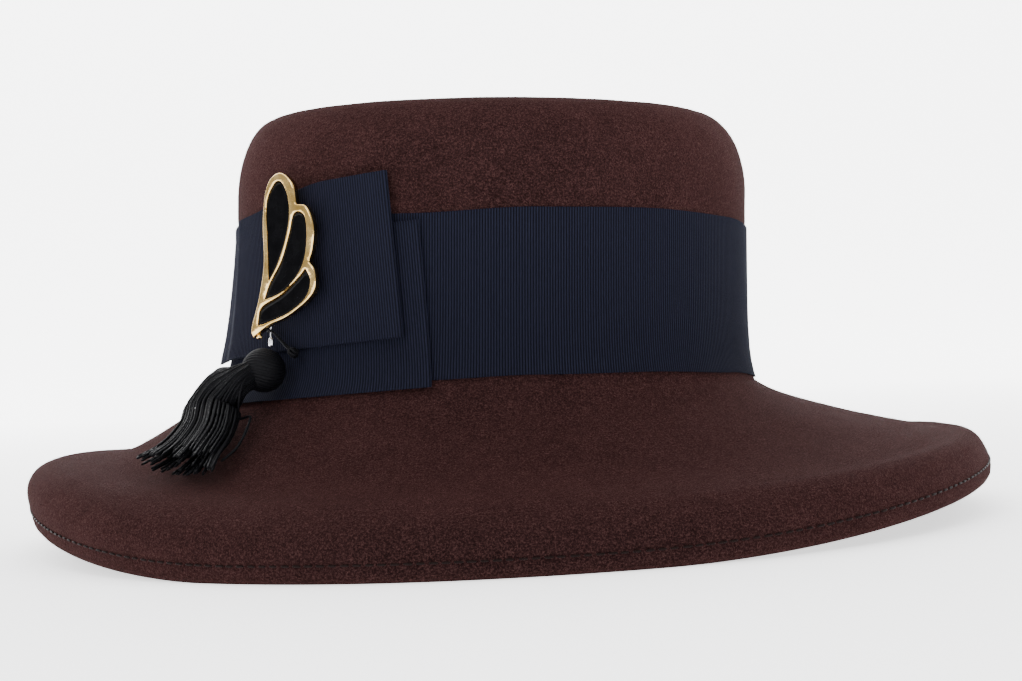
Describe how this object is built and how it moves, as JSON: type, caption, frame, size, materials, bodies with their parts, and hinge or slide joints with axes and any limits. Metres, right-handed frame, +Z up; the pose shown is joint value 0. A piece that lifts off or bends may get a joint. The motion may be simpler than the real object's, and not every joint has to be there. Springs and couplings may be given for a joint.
{
  "type": "wide-brim felt hat",
  "caption": "Wide-brim felt hat with a ribbon band, a flat folded bow, an enamelled brooch and a tassel; it is worn on the head for shade and dress, and rests on its rim.",
  "frame": {"origin": "the middle of the bounding box's bottom, on the surface that the rim rests on", "axes": "+Z up, the wearer's front towards -X, and the side with the bow, brooch and tassel towards -Y; the crown's axis leans back by 2.86 degrees, because the sides of the rim lie along the surface"},
  "size_m": [0.3758, 0.3134, 0.1632],
  "materials": {
    "brown_felt": "matt brushed wool felt",
    "navy_grosgrain": "ribbed ribbon with a soft sheen",
    "gold": "polished",
    "black_enamel": "glossy",
    "steel_pin": "bright",
    "black_thread": "twisted thread with a soft sheen"
  },
  "bodies": {
    "root": {"felt_body": "brown_felt", "hat_band": "navy_grosgrain", "bow_lower_loop": "navy_grosgrain", "bow_upper_loop": "navy_grosgrain", "brooch_frame": "gold", "brooch_enamel_1": "black_enamel", "brooch_enamel_2": "black_enamel", "brooch_enamel_3": "black_enamel", "brooch_pin": "steel_pin", "tassel_loop": "black_thread", "tassel": "black_thread"}
  },
  "joints": []
}
